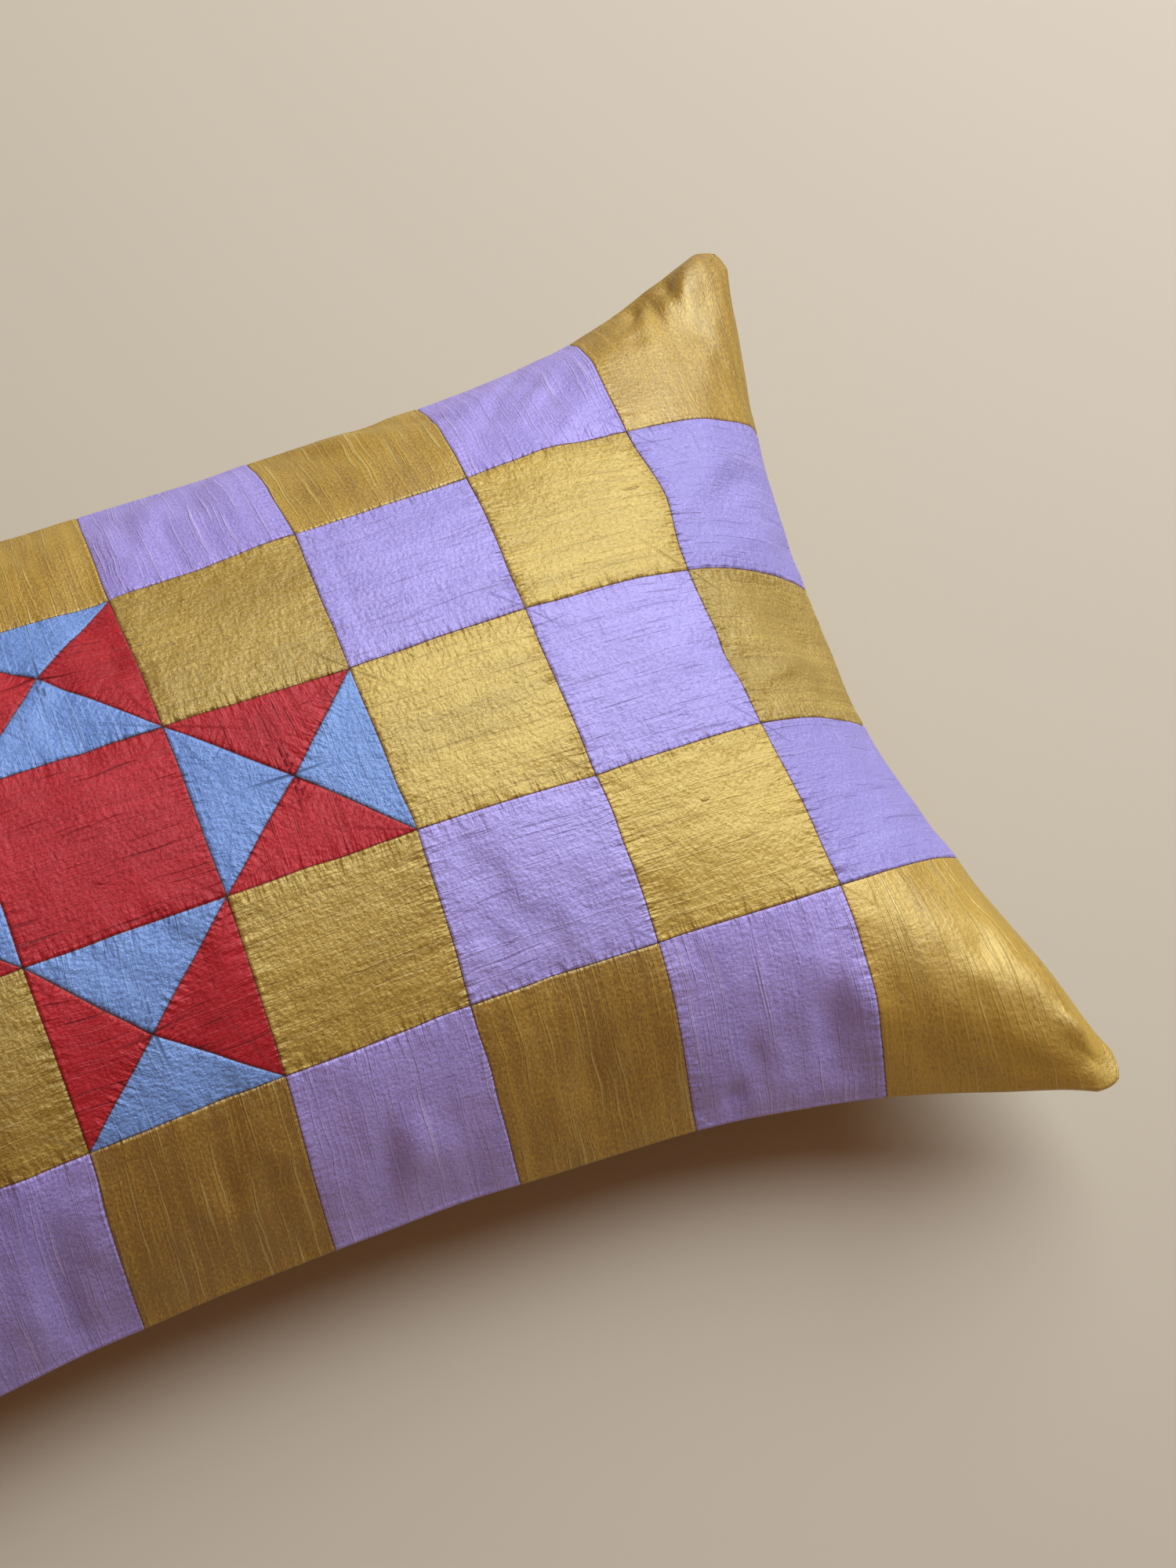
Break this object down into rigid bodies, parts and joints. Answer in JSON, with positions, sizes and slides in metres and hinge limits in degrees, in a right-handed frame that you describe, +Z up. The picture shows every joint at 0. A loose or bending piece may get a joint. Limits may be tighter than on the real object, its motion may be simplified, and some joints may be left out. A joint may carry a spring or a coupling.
{
  "type": "cushion cover",
  "caption": "Filled lumbar cushion in a patchwork silk cover with a star in the middle, knife-edged, with soft ears, lying on its back.",
  "frame": {"origin": "under the middle of the cushion, at the height of the surface that it lies on", "axes": "+X along the long side, +Y across it away from the near long side, +Z up out of the patchwork face"},
  "size_m": [0.5684, 0.339, 0.1061],
  "materials": {
    "ochre_silk": "slubbed raw silk, ochre, soft directional sheen",
    "lilac_silk": "slubbed raw silk, lilac, soft directional sheen",
    "red_silk": "slubbed raw silk, red, soft directional sheen",
    "blue_silk": "slubbed raw silk, blue, soft directional sheen",
    "sewing_thread": "matte sewing thread"
  },
  "bodies": {
    "root": {"cushion": "ochre_silk"}
  },
  "joints": []
}
